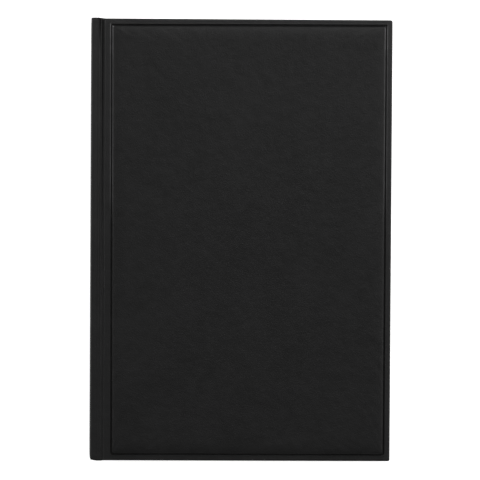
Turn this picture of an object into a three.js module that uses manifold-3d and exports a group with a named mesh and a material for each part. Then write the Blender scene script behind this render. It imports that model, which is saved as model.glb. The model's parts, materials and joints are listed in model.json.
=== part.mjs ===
// A padded hardcover planner, closed, lying on its back cover.
// X runs from the spine to the fore-edge, Y from tail to head, Z up, in millimetres.
// The origin is the middle of the footprint, on the surface that the planner lies on.
import * as THREE from "three";
import { mergeVertices } from "three/addons/utils/BufferGeometryUtils.js";
import Module from "manifold-3d";

const wasm = await Module();
wasm.setup();

// Leaves and sewn sections
const pageWidth = 139.7;
const pageHeight = 209.6;
const leafThickness = 0.085;
const leavesPerSection = 16;
const sectionCount = 12;
const leafGap = 0.04; // air between one section and the next
const endpaperThickness = 0.18;
const flyleafTip = 0.3; // how far the flyleaf starts in front of the sections' folds

// Covers
const square = 3; // how far the covers stand out past the pages
const boardThickness = 2;
const skinThickness = 0.4;
const glueLine = 0.05; // gap that stands for the glue between two layers
const turnIn = 14; // width of covering folded over the board's inner face
const jointLip = 1.2; // the same at the joint, where the covering runs on into the groove
const edgeRadius = 0.8; // rounding of the covering over the board's edges
const underEdgeRadius = 0.35;
const coverCornerRadius = 1;
const pastedownMargin = 0.3; // from the joint side of the cover to the pastedown

// Padded panel and its pressed frame line
const padHeight = 1; // rise of the panel over the rim
const crownWidth = 9; // width over which the panel rises from the line to its flat middle
const crownFullness = 3; // 2 makes the rise a quarter of an ellipse, more makes it squarer
const frameInset = 2.7; // from the cover's edge to the line, at head, tail and fore-edge
const jointFrameInset = 3.4; // the same at the joint
const lineWidth = 0.8;
const lineDepth = 0.25;
const lineWall = 0.25; // slant of the line's outer wall
const panelCornerRadius = 0.45;
const panelCornerGrowth = 1.1; // how fast the panel's corners round off towards the middle

// Spine
const spineBoardThickness = 2.2;
const spineShoulderDrop = 0.2; // the shoulder lies this far under the cover's rim
const spineShoulderRadius = 1.2;
const capRise = 0.4; // how far the spine's covering stands past the covers at head and tail
const spineTurnIn = 12;
const liningThickness = 0.2;
const mullThickness = 0.2;
const mullInset = 8; // from the ends of the sections to the ends of the mull
const mullFlapWidth = 26;
const threadDiameter = 0.4;
const threadCount = 4;
const kettleInset = 20; // from the ends of the sections to the outer lines of thread
const threadSides = 8;

// Head and tail bands
const bandBeadRadius = 0.9;
const bandStripLength = 12;
const bandStripThickness = 0.35;
const bandLift = 0.15; // from the ends of the sections to the bead

// Joint
const coverStart = 6.45; // from the spine's face to the covers, set by the groove
const grooveDepth = 0.45;
const grooveFloorShare = 0.78; // where the groove's floor begins, as a share of the way to the cover
const shoulderHandle = 0.35; // how softly the covering leaves the shoulder, a share of the same way
const floorHandle = 0.2; // how flat it arrives at the floor, a share of the same way
const coverHandle = 0.4; // how softly it rises beside the cover, a share of the groove's depth
const coverEdgeDrop = 0.1; // how far under the shoulder it ends there, a share of the same depth

// Mesh steps
const cornerSteps = 3;
const crownSteps = 6;
const foamFirstStep = 2; // the first step up the crown where there is room for foam
const edgeSteps = 3;
const grooveSteps = 6;
const foldSteps = 4;

// Distances from the spine's face
const spineBoardStart = skinThickness + glueLine;
const spineBoardEnd = spineBoardStart + spineBoardThickness;
const spineSkinEnd = spineBoardEnd + glueLine + skinThickness;
const liningStart = spineSkinEnd + glueLine;
const mullStart = liningStart + liningThickness + glueLine;
const threadStart = mullStart + mullThickness + glueLine;
const foldStart = threadStart + Math.max(threadDiameter, bandStripThickness) + glueLine;
const pageEnd = foldStart + pageWidth;
const coverEnd = pageEnd + square;
const spineFace = -coverEnd / 2;

// Heights in a cover, from the pastedown's face outwards
const turnInLevel = endpaperThickness + glueLine;
const boardLevel = turnInLevel + skinThickness + glueLine;
const underSkinLevel = boardLevel + boardThickness + glueLine;
const rimLevel = underSkinLevel + skinThickness;
const lineLevel = rimLevel - lineDepth;
const coverHeight = rimLevel + padHeight;

// Heights in the planner, from the surface that it lies on
const sectionThickness = leavesPerSection * leafThickness;
const sectionPitch = sectionThickness + leafGap;
const flyleafAllowance = glueLine + endpaperThickness + leafGap;
const blockBottom = coverHeight + flyleafAllowance;
const blockHeight = sectionCount * sectionPitch - leafGap;
const blockTop = blockBottom + blockHeight;
const totalHeight = blockTop + flyleafAllowance + coverHeight;
const spineBottom = padHeight + spineShoulderDrop;
const spineTop = totalHeight - spineBottom;

// Half heights along Y
const coverHalf = pageHeight / 2 + square;
const spineHalf = coverHalf + capRise;

function material(color, roughness) {
  return new THREE.MeshStandardMaterial({ color, roughness, metalness: 0 });
}

const leatherette = material(0x262627, 0.5);
const greyBoard = material(0x8d867a, 0.95);
const foam = material(0xcfccc4, 1);
const endpaper = material(0xefe9dc, 0.9);
const paper = material(0xf5f2ea, 0.9);
const kraft = material(0xb08a5c, 0.95);
const gauze = material(0xe4dfd2, 1);
const bandCloth = material(0x2b2b2e, 0.8);
const thread = material(0xf0ede4, 0.8);

function named(name, geometry, surface) {
  const mesh = new THREE.Mesh(geometry, surface);
  mesh.name = name;
  return mesh;
}

// A closed surface through a list of rings that have as many points each. The first and the
// last ring are closed by a fan from their middle. Rings run counter-clockwise from above, and
// the list goes outwards over the top, so that the faces point out.
function loft(rings) {
  const count = rings[0].length;
  const middle = (ring) => {
    const sum = [0, 0, 0];
    ring.forEach((p) => p.forEach((value, axis) => (sum[axis] += value / count)));
    return sum;
  };
  const points = [...rings.flat(), middle(rings[0]), middle(rings.at(-1))];
  const first = rings.length * count;
  const last = first + 1;
  const faces = [];
  for (let k = 0; k < count; k++) {
    const next = (k + 1) % count;
    faces.push(first, k, next);
    for (let r = 0; r + 1 < rings.length; r++) {
      const here = r * count;
      const there = here + count;
      faces.push(here + k, there + k, there + next, here + k, there + next, here + next);
    }
    const end = (rings.length - 1) * count;
    faces.push(last, end + next, end + k);
  }
  const geometry = new THREE.BufferGeometry();
  geometry.setAttribute("position", new THREE.Float32BufferAttribute(points.flat(), 3));
  geometry.setIndex(faces);
  geometry.computeVertexNormals();
  return geometry;
}

// A rounded rectangle at height z, set in from the cover's outline by one inset at head, tail
// and fore-edge, and by another at the joint.
function coverRing(inset, jointInset, radius, z) {
  const left = spineFace + coverStart + jointInset + radius;
  const right = spineFace + coverEnd - inset - radius;
  const half = coverHalf - inset - radius;
  const corners = [
    [right, -half],
    [right, half],
    [left, half],
    [left, -half],
  ];
  return corners.flatMap(([x, y], corner) =>
    Array.from({ length: cornerSteps + 1 }, (_, step) => {
      const angle = (Math.PI / 2) * (corner - 1 + step / cornerSteps);
      return [x + radius * Math.cos(angle), y + radius * Math.sin(angle), z];
    }),
  );
}

// A ring of the padded panel, where turn goes from 0 at the frame line to 1 on the flat middle.
// The rise is a quarter of a superellipse, lowered by drop for the layers under the surface.
function panelRing(turn, drop) {
  const angle = (turn * Math.PI) / 2;
  const reach = crownWidth * (1 - Math.cos(angle) ** (2 / crownFullness));
  const rise = (coverHeight - lineLevel) * Math.sin(angle) ** (2 / crownFullness);
  const z = Math.max(lineLevel + rise - drop, underSkinLevel);
  return coverRing(
    frameInset + lineWidth + reach,
    jointFrameInset + lineWidth + reach,
    panelCornerRadius + panelCornerGrowth * reach,
    z,
  );
}

function range(count) {
  return Array.from({ length: count }, (_, i) => i);
}

// The covering of one board: out over the panel, down into the frame line, over the rim, round
// the edge, in under the board, and back along the inner side of the same sheet.
function coverSkin() {
  const panel = range(crownSteps + 1).map((k) => panelRing(1 - k / crownSteps, 0));
  const line = [
    coverRing(frameInset, jointFrameInset, panelCornerRadius, lineLevel),
    coverRing(frameInset - lineWall, jointFrameInset - lineWall, panelCornerRadius, rimLevel),
  ];
  const edge = range(edgeSteps + 1).map((k) => {
    const angle = ((k / edgeSteps) * Math.PI) / 2;
    const inset = edgeRadius * (1 - Math.sin(angle));
    return coverRing(inset, inset, coverCornerRadius, rimLevel - edgeRadius * (1 - Math.cos(angle)));
  });
  const underEdge = range(edgeSteps + 1).map((k) => {
    const angle = ((k / edgeSteps) * Math.PI) / 2;
    const inset = underEdgeRadius * (1 - Math.cos(angle));
    const z = turnInLevel + underEdgeRadius * (1 - Math.sin(angle));
    return coverRing(inset, inset, coverCornerRadius, z);
  });
  const innerRadius = coverCornerRadius - skinThickness;
  const inner = [
    coverRing(turnIn, jointLip, innerRadius, turnInLevel),
    coverRing(turnIn, jointLip, innerRadius, turnInLevel + skinThickness),
    coverRing(skinThickness, skinThickness, innerRadius, turnInLevel + skinThickness),
    coverRing(skinThickness, skinThickness, innerRadius, underSkinLevel),
  ];
  const underPanel = range(crownSteps + 1).map((k) => panelRing(k / crownSteps, skinThickness));
  return loft([...panel, ...line, ...edge, ...underEdge, ...inner, ...underPanel]);
}

function board() {
  const inset = skinThickness + glueLine;
  const radius = coverCornerRadius - skinThickness;
  const ring = (z) => coverRing(inset, inset, radius, z);
  return loft([ring(boardLevel + boardThickness), ring(boardLevel)]);
}

// The foam starts a little inside the frame line, where there is room for it under the covering.
function foamPad() {
  const drop = skinThickness + glueLine;
  const steps = range(crownSteps + 1 - foamFirstStep).map((k) => 1 - k / crownSteps);
  const top = steps.map((turn) => panelRing(turn, drop));
  const foot = top.at(-1).map(([x, y]) => [x, y, underSkinLevel]);
  return loft([...top, foot]);
}

function plate(left, right, half, bottom, thickness) {
  const geometry = new THREE.BoxGeometry(right - left, 2 * half, thickness);
  geometry.translate(spineFace + (left + right) / 2, 0, bottom + thickness / 2);
  return geometry;
}

function mullFlap() {
  const left = coverStart + jointLip + glueLine;
  const half = Math.min(pageHeight / 2 - mullInset, coverHalf - turnIn - coverCornerRadius);
  const bottom = boardLevel - glueLine - mullThickness;
  return plate(left, left + mullFlapWidth, half, bottom, mullThickness);
}

function pastedown() {
  return plate(coverStart + pastedownMargin, pageEnd, pageHeight / 2, 0, endpaperThickness);
}

function cover(side) {
  const group = new THREE.Group();
  group.add(
    named(`${side}_skin`, coverSkin(), leatherette),
    named(`${side}_foam_pad`, foamPad(), foam),
    named(`${side}_board`, board(), greyBoard),
    named(`${side}_mull_flap`, mullFlap(), gauze),
    named(`${side}_pastedown`, pastedown(), endpaper),
  );
  return group;
}

// An outline in X and Z carried along Y, over the given half height.
function extrudeAlongY(shape, half) {
  const geometry = new THREE.ExtrudeGeometry(shape, {
    depth: 2 * half,
    bevelEnabled: false,
    curveSegments: foldSteps,
  });
  geometry.rotateX(Math.PI / 2);
  geometry.translate(0, half, 0);
  return geometry;
}

// One sewn section, with the round back of its fold towards the spine.
function section(bottom) {
  const radius = sectionThickness / 2;
  const foldCentre = spineFace + foldStart + radius;
  const shape = new THREE.Shape();
  shape.moveTo(foldCentre, bottom);
  shape.lineTo(spineFace + pageEnd, bottom);
  shape.lineTo(spineFace + pageEnd, bottom + sectionThickness);
  shape.lineTo(foldCentre, bottom + sectionThickness);
  shape.absarc(foldCentre, bottom + radius, radius, Math.PI / 2, 1.5 * Math.PI, false);
  return extrudeAlongY(shape, pageHeight / 2);
}

function flyleaf(bottom) {
  return plate(foldStart + flyleafTip, pageEnd, pageHeight / 2, bottom, endpaperThickness);
}

function solid(geometry) {
  const bare = geometry.index ? geometry.toNonIndexed() : geometry.clone();
  bare.deleteAttribute("normal");
  bare.deleteAttribute("uv");
  const merged = mergeVertices(bare, 1e-4);
  return new wasm.Manifold(
    new wasm.Mesh({
      numProp: 3,
      vertProperties: new Float32Array(merged.attributes.position.array),
      triVerts: new Uint32Array(merged.index.array),
    }),
  );
}

function geometryOf(manifold) {
  const mesh = manifold.getMesh();
  const geometry = new THREE.BufferGeometry();
  geometry.setAttribute("position", new THREE.Float32BufferAttribute(mesh.vertProperties, 3));
  geometry.setIndex([...mesh.triVerts]);
  geometry.computeVertexNormals();
  return geometry;
}

// The covering of the spine board: a shell with round shoulders, closed over the ends of the
// board and turned in behind it, and open towards the pages between the two turn-ins.
function spineSkin() {
  const face = spineFace;
  const back = spineFace + spineSkinEnd;
  const r = spineShoulderRadius;
  const outline = new THREE.Shape();
  outline.moveTo(back, spineBottom);
  outline.lineTo(back, spineTop);
  outline.lineTo(face + r, spineTop);
  outline.absarc(face + r, spineTop - r, r, Math.PI / 2, Math.PI, false);
  outline.lineTo(face, spineBottom + r);
  outline.absarc(face + r, spineBottom + r, r, Math.PI, 1.5 * Math.PI, false);
  const outer = solid(extrudeAlongY(outline, spineHalf));
  const bottom = spineBottom + skinThickness;
  const height = spineTop - spineBottom - 2 * skinThickness;
  const hollowHalf = spineHalf - skinThickness;
  const hollow = plate(skinThickness, spineBoardEnd + glueLine, hollowHalf, bottom, height);
  const windowHalf = spineHalf - spineTurnIn;
  const window = plate(spineBoardEnd, spineSkinEnd + skinThickness, windowHalf, bottom, height);
  return geometryOf(outer.subtract(solid(hollow)).subtract(solid(window)));
}

function spineBoard() {
  const inset = skinThickness + glueLine;
  const height = spineTop - spineBottom - 2 * inset;
  return plate(spineBoardStart, spineBoardEnd, spineHalf - inset, spineBottom + inset, height);
}

function spineLining() {
  return plate(liningStart, liningStart + liningThickness, pageHeight / 2, blockBottom, blockHeight);
}

function spineMull() {
  const half = pageHeight / 2 - mullInset;
  return plate(mullStart, mullStart + mullThickness, half, blockBottom, blockHeight);
}

function sewingThread(station) {
  const radius = threadDiameter / 2;
  const geometry = new THREE.CylinderGeometry(radius, radius, blockHeight, threadSides);
  geometry.rotateX(Math.PI / 2);
  geometry.translate(spineFace + threadStart + radius, station, blockBottom + blockHeight / 2);
  return geometry;
}

// A band at the head: a bead that shows over the ends of the sections, with a strip that is
// glued to their backs. The outline lies in X and Y, and runs along Z from cover to cover.
function headBand() {
  const left = spineFace + threadStart;
  const stripRight = left + bandStripThickness;
  const end = pageHeight / 2;
  const bead = { x: left + bandBeadRadius, y: end + bandLift + bandBeadRadius };
  const reach = Math.acos((bead.x - stripRight) / bandBeadRadius);
  const shape = new THREE.Shape();
  shape.moveTo(left, end - bandStripLength);
  shape.lineTo(stripRight, end - bandStripLength);
  shape.absarc(bead.x, bead.y, bandBeadRadius, Math.PI + reach, 3 * Math.PI, false);
  const geometry = new THREE.ExtrudeGeometry(shape, {
    depth: blockHeight,
    bevelEnabled: false,
    curveSegments: 3 * foldSteps,
  });
  geometry.translate(0, 0, blockBottom);
  return geometry;
}

// The covering in the groove: from the spine's shoulder down in an S, then up beside the cover.
function jointCloth() {
  const start = spineFace + spineSkinEnd + glueLine;
  const end = spineFace + coverStart - glueLine - skinThickness;
  const width = end - start;
  const floor = new THREE.Vector2(start + grooveFloorShare * width, spineTop - grooveDepth);
  const top = new THREE.Vector2(start, spineTop);
  const rim = new THREE.Vector2(end, spineTop - coverEdgeDrop * grooveDepth);
  const down = new THREE.CubicBezierCurve(
    top,
    new THREE.Vector2(start + shoulderHandle * width, top.y),
    new THREE.Vector2(floor.x - floorHandle * width, floor.y),
    floor,
  );
  const up = new THREE.CubicBezierCurve(
    floor,
    new THREE.Vector2(end, floor.y),
    new THREE.Vector2(end, floor.y + coverHandle * grooveDepth),
    rim,
  );
  return extrudeAlongY(ribbon([down, up], grooveSteps, skinThickness), coverHalf);
}

// A strip of one thickness under a run of curves that go from left to right.
function ribbon(curves, steps, thickness) {
  const over = [];
  const under = [];
  curves.forEach((curve, i) => {
    for (let step = i === 0 ? 0 : 1; step <= steps; step++) {
      const point = curve.getPoint(step / steps);
      const along = curve.getTangent(step / steps);
      over.push(point);
      under.push(new THREE.Vector2(point.x + along.y * thickness, point.y - along.x * thickness));
    }
  });
  return new THREE.Shape([...under, ...over.reverse()]);
}

// Turns a piece over about the planner's mid height, for the back of the book.
function turnedOver(mesh) {
  mesh.scale.z = -1;
  mesh.position.z = totalHeight;
  return mesh;
}

const planner = new THREE.Group();

const frontCover = cover("front");
frontCover.position.z = totalHeight - coverHeight;
const backCover = cover("back");
backCover.scale.z = -1;
backCover.position.z = coverHeight;
planner.add(frontCover, backCover);

const flyleafBottom = blockTop + leafGap;
planner.add(named("front_flyleaf", flyleaf(flyleafBottom), endpaper));
planner.add(turnedOver(named("back_flyleaf", flyleaf(flyleafBottom), endpaper)));

for (const i of range(sectionCount)) {
  const number = String(i + 1).padStart(2, "0");
  const bottom = blockTop - sectionThickness - i * sectionPitch;
  planner.add(named(`section_${number}`, section(bottom), paper));
}

planner.add(
  named("spine_skin", spineSkin(), leatherette),
  named("spine_board", spineBoard(), greyBoard),
  named("spine_lining", spineLining(), kraft),
  named("spine_mull", spineMull(), gauze),
  named("front_joint_cloth", jointCloth(), leatherette),
  turnedOver(named("back_joint_cloth", jointCloth(), leatherette)),
);

const tailBand = named("tail_band", headBand(), bandCloth);
tailBand.scale.y = -1;
planner.add(named("head_band", headBand(), bandCloth), tailBand);

for (const i of range(threadCount)) {
  const share = (2 * i) / (threadCount - 1) - 1;
  const station = share * (pageHeight / 2 - kettleInset);
  planner.add(named(`sewing_thread_${i + 1}`, sewingThread(station), thread));
}

export default planner;
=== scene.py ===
import json
import math

import bpy
import numpy as np
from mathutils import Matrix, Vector


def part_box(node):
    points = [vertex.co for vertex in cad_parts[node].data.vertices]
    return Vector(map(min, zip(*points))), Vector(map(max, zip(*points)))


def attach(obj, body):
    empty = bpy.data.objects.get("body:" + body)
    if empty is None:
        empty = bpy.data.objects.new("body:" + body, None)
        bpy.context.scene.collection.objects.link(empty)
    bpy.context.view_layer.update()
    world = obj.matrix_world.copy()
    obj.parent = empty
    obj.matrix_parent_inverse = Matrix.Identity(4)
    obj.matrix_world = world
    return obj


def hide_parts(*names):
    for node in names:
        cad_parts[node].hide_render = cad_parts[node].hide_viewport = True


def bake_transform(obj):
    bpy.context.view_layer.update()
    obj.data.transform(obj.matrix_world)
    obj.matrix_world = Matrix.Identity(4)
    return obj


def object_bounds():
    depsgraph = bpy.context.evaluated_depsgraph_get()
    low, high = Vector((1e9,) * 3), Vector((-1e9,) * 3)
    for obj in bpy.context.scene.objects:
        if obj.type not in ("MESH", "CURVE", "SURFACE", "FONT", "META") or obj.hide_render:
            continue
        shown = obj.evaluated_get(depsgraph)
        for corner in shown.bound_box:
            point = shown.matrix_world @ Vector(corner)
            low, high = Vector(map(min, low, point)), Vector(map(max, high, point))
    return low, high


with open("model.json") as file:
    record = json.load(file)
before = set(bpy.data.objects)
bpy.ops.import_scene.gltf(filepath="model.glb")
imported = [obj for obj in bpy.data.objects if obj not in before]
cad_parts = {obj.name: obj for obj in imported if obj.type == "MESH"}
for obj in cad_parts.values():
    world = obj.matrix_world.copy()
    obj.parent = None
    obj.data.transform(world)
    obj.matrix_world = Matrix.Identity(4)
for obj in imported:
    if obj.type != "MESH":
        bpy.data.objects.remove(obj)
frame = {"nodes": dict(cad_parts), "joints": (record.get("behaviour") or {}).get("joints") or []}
cad_low, cad_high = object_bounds()
mm = 0.001

# Sewn sections
# Each section is eight sheets of smooth off-white paper, folded in half inside one another and
# sewn through the fold. The block of twelve sections is trimmed on three sides after sewing, so
# its edges show the ends of all the leaves.
SECTION_COUNT = 12
SHEETS_IN_SECTION = 8
LEAF_PITCH = 0.085 * mm
PAPER_THICKNESS = 0.073 * mm
TRIM_SCATTER = 0.06 * mm
FOLD_STEPS, BEND_STEPS, FLAT_STEPS = 6, 30, 5
BEND_AT_HINGE, BEND_PER_DEPTH = 9 * mm, 2.2
SHARP_ANGLE = 35
LYING_FLAT = 0.5
UV_SPAN = 250 * mm
PAPER_FINISH = (0.75, 0.25)
PAPER_COLOUR, PAPER_TONES = (0.87, 0.85, 0.79), (0.95, 1.04)
PAPER_EDGE_COLOUR, PAPER_EDGE_TONES = (0.72, 0.70, 0.63), (0.72, 1.25)
PAPER_FIBRES = (120.0, 0.10, 0.03 * mm)
FIBRE_DETAIL, FINE_PER_FIBRE, FINE_SHARE = 4.0, 5, 0.4
MIX_A, MIX_B, MIX_RESULT = 6, 7, 2

# The print on a page, in millimetres from the fold and from the tail.
INK_COLOUR = (0.10, 0.115, 0.14)
RULE_PITCH, RULE_WIDTH, RULE_INK = 7.0, 0.16, 0.45
RULES_FROM, RULES_TO = 14.0, 175.0
MARGIN_INNER, MARGIN_OUTER = 9.0, 131.0
HEADER_AT, HEADER_WIDTH = 189.0, 0.5
HOUR_LINE_AT, HOUR_LINE_WIDTH, HOUR_LINE_INK = 112.0, 0.2, 0.6

rng = np.random.default_rng(7)
hinge_z = next(joint["pos_m"][2] for joint in frame["joints"] if joint["name"] == "front_cover_hinge")


def make_piece(name, points, quads, triangles=(), sharp=SHARP_ANGLE):
    """A mesh object from arrays of points, quads and triangles, smooth but for its sharper edges."""
    quads = np.asarray(quads, np.int32).reshape(-1, 4)
    triangles = np.asarray(triangles, np.int32).reshape(-1, 3)
    corners = np.concatenate([quads.ravel(), triangles.ravel()])
    sizes = np.concatenate([np.full(len(quads), 4), np.full(len(triangles), 3)])
    mesh = bpy.data.meshes.new(name)
    mesh.vertices.add(len(points))
    mesh.vertices.foreach_set("co", np.asarray(points, np.float32).ravel())
    mesh.loops.add(len(corners))
    mesh.loops.foreach_set("vertex_index", corners)
    mesh.polygons.add(len(sizes))
    mesh.polygons.foreach_set("loop_start", (np.cumsum(sizes) - sizes).astype(np.int32))
    mesh.polygons.foreach_set("use_smooth", np.ones(len(sizes), bool))
    mesh.update(calc_edges=True)
    mesh.set_sharp_from_angle(angle=math.radians(sharp))
    made = bpy.data.objects.new(name, mesh)
    bpy.context.scene.collection.objects.link(made)
    return made


def set_uv(piece, uv):
    """Writes one UV pair for each vertex to all the face corners that use it."""
    corners = np.empty(len(piece.data.loops), np.int32)
    piece.data.loops.foreach_get("vertex_index", corners)
    layer = piece.data.uv_layers.new(name="UVMap")
    layer.data.foreach_set("uv", np.asarray(uv, np.float32)[corners].ravel())


def set_values(piece, name, values, domain="POINT"):
    """Keeps one number for each vertex or face as an attribute that a material reads."""
    attribute = piece.data.attributes.new(name, "FLOAT", domain)
    attribute.data.foreach_set("value", np.asarray(values, np.float32))


def strip_along(path, thickness, half, stations=2):
    """A closed strip. The path in X and Z gets half the thickness on either side, along its
    normal, and the outline is carried along Y from -half to +half, where half is one length or
    one for each point of the path."""
    along = np.gradient(path, axis=0)
    along /= np.linalg.norm(along, axis=1)[:, None]
    normal = np.stack([-along[:, 1], along[:, 0]], -1)
    outline = np.concatenate([path + normal * thickness / 2, (path - normal * thickness / 2)[::-1]])
    reach = np.broadcast_to(half, len(path))
    reach = np.concatenate([reach, reach[::-1]])
    share = np.linspace(-1, 1, stations)[:, None]
    x = np.broadcast_to(outline[:, 0], (stations, len(outline)))
    z = np.broadcast_to(outline[:, 1], (stations, len(outline)))
    points = np.stack([x, share * reach, z], -1).reshape(-1, 3)
    size = len(outline)
    here = np.arange(size)
    ahead = (here + 1) % size
    row = size * np.arange(stations - 1)[:, None]
    sides = np.stack([row + here, row + ahead, row + size + ahead, row + size + here], -1).reshape(-1, 4)
    over = np.arange(len(path) - 1)
    under = size - 1 - over
    low_cap = np.stack([over, under, under - 1, over + 1], -1)
    last = size * (stations - 1)
    high_cap = last + np.stack([over, over + 1, under - 1, under], -1)
    return points, np.concatenate([sides, low_cap, high_cap])


def folded_sheet(fold_x, bend_x, end_x, middle_z, spread):
    """The path of one folded sheet: along the lower leaf to the fold, round half a circle of
    radius spread, and out along the upper leaf. Most steps lie where the leaves can bend."""
    leaf = np.concatenate([
        np.linspace(fold_x, bend_x, BEND_STEPS)[:-1],
        np.linspace(bend_x, end_x, FLAT_STEPS),
    ])
    turn = np.linspace(-np.pi / 2, -1.5 * np.pi, FOLD_STEPS + 2)[1:-1]
    x = np.concatenate([leaf[::-1], fold_x + spread * np.cos(turn), leaf])
    flat = np.full(len(leaf), spread)
    z = np.concatenate([-flat, spread * np.sin(turn), flat])
    return np.stack([x, middle_z + z], -1)


def add_node(tree, kind, inputs=None, **settings):
    """A shader node of one kind, with its settings, and its inputs set to a value or linked."""
    made = tree.nodes.new(kind)
    for key, value in settings.items():
        setattr(made, key, value)
    for key, value in (inputs or {}).items():
        if isinstance(value, bpy.types.NodeSocket):
            tree.links.new(value, made.inputs[key])
        else:
            made.inputs[key].default_value = value
    return made


def maths(tree, operation, a, b=0.0, clamp=False):
    """One step of arithmetic with a and b, each a number or a socket."""
    return add_node(tree, "ShaderNodeMath", {0: a, 1: b}, operation=operation, use_clamp=clamp).outputs[0]


def times(tree, a, b):
    """a times b."""
    return maths(tree, "MULTIPLY", a, b)


def between(tree, value, low, high):
    """1 where the value lies from low to high, and 0 elsewhere."""
    return times(tree, maths(tree, "GREATER_THAN", value, low), maths(tree, "LESS_THAN", value, high))


def scaled(colour, tone):
    """A colour with each of its parts times the tone."""
    return tuple(tone * part for part in colour)


def mixed(tree, share, a, b):
    """Colour a where the share is 0 and colour b where it is 1."""
    made = add_node(tree, "ShaderNodeMix", {"Factor": share}, data_type="RGBA")
    for socket, value in ((made.inputs[MIX_A], a), (made.inputs[MIX_B], b)):
        if isinstance(value, bpy.types.NodeSocket):
            tree.links.new(value, socket)
        else:
            socket.default_value = (*value, 1)
    return made.outputs[MIX_RESULT]


def toned(tree, share, colour, tones):
    """The colour times the first tone where the share is 0 and times the second where it is 1."""
    first, second = tones
    return mixed(tree, share, scaled(colour, first), scaled(colour, second))


def noise(tree, place, per_metre, detail=2.0):
    """Soft noise from 0 to 1, with so many swells to the metre and finer ones by its detail."""
    inputs = {"Vector": place, "Scale": per_metre, "Detail": detail}
    return add_node(tree, "ShaderNodeTexNoise", inputs).outputs[0]


def relief(tree, height, strength, depth):
    """A bump that stands depth metres high where the height is 1."""
    bump = add_node(tree, "ShaderNodeBump", {"Height": height, "Strength": strength, "Distance": depth})
    return bump.outputs[0]


def paper_fibres(tree, place, per_metre, strength, depth):
    """A cloud of coarse noise, and the relief of its fibres: the same noise with a finer one on it."""
    coarse = noise(tree, place, per_metre, FIBRE_DETAIL)
    fine = noise(tree, place, FINE_PER_FIBRE * per_metre)
    height = maths(tree, "ADD", coarse, times(tree, fine, FINE_SHARE))
    return coarse, relief(tree, height, strength, depth)


def kept_value(tree, name):
    """The number that set_values keeps on the mesh under a name."""
    return add_node(tree, "ShaderNodeAttribute", attribute_name=name).outputs["Fac"]


def own_place(tree):
    """Where a point lies on its own piece, in metres."""
    return add_node(tree, "ShaderNodeTexCoord").outputs["Object"]


def own_uv(tree):
    """The piece's own UV map."""
    return add_node(tree, "ShaderNodeUVMap", uv_map="UVMap").outputs[0]


def new_material(name, finish):
    """A material with its node tree and its shader. The finish is a roughness and a gloss."""
    made = bpy.data.materials.new(name)
    made.use_nodes = True
    shader = made.node_tree.nodes["Principled BSDF"]
    shader.inputs["Roughness"].default_value, shader.inputs["Specular IOR Level"].default_value = finish
    return made, made.node_tree, shader


def painted(made, shader, tint, bump):
    """Gives a material its colour and its relief."""
    made.node_tree.links.new(tint, shader.inputs["Base Color"])
    made.node_tree.links.new(bump, shader.inputs["Normal"])
    return made


def page_material():
    """Off-white paper with the page's print in its UV map, which is stretched to millimetres. The
    trimmed edges are a little darker, and each sheet has its own tone."""
    made, tree, shader = new_material("page_paper", PAPER_FINISH)
    uv = own_uv(tree)
    stretch = {0: uv, 1: (UV_SPAN / mm, UV_SPAN / mm, 1)}
    place = add_node(tree, "ShaderNodeVectorMath", stretch, operation="MULTIPLY").outputs[0]
    x, y, _ = add_node(tree, "ShaderNodeSeparateXYZ", {0: place}).outputs
    step = maths(tree, "DIVIDE", maths(tree, "SUBTRACT", y, RULES_FROM), RULE_PITCH)
    rules = maths(tree, "LESS_THAN", maths(tree, "FRACT", step), RULE_WIDTH / RULE_PITCH)
    rules = times(tree, times(tree, rules, between(tree, y, RULES_FROM, RULES_TO)), RULE_INK)
    header = between(tree, y, HEADER_AT, HEADER_AT + HEADER_WIDTH)
    lines = maths(tree, "MAXIMUM", rules, header)
    lines = times(tree, lines, between(tree, x, MARGIN_INNER, MARGIN_OUTER))
    column = between(tree, x, HOUR_LINE_AT, HOUR_LINE_AT + HOUR_LINE_WIDTH)
    column = times(tree, column, between(tree, y, RULES_FROM, HEADER_AT))
    lines = maths(tree, "MAXIMUM", lines, times(tree, column, HOUR_LINE_INK))
    page = kept_value(tree, "page_face")
    cloud, bump = paper_fibres(tree, uv, *PAPER_FIBRES)
    edge = toned(tree, kept_value(tree, "sheet_tone"), PAPER_EDGE_COLOUR, PAPER_EDGE_TONES)
    paper = mixed(tree, page, edge, toned(tree, cloud, PAPER_COLOUR, PAPER_TONES))
    ink = times(tree, lines, page)
    return painted(made, shader, mixed(tree, ink, paper, INK_COLOUR), bump)


def put_on(piece, material, slot, *nodes):
    """Gives a piece its finish and hides the nodes that it stands for. The slot is not used."""
    piece.data.materials.clear()
    piece.data.materials.append(material)
    if nodes:
        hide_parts(*nodes)


def bend_reach(depth):
    """How far from the fold the leaves still curve when they turn: further, the deeper they lie."""
    return BEND_AT_HINGE + BEND_PER_DEPTH * depth


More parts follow.
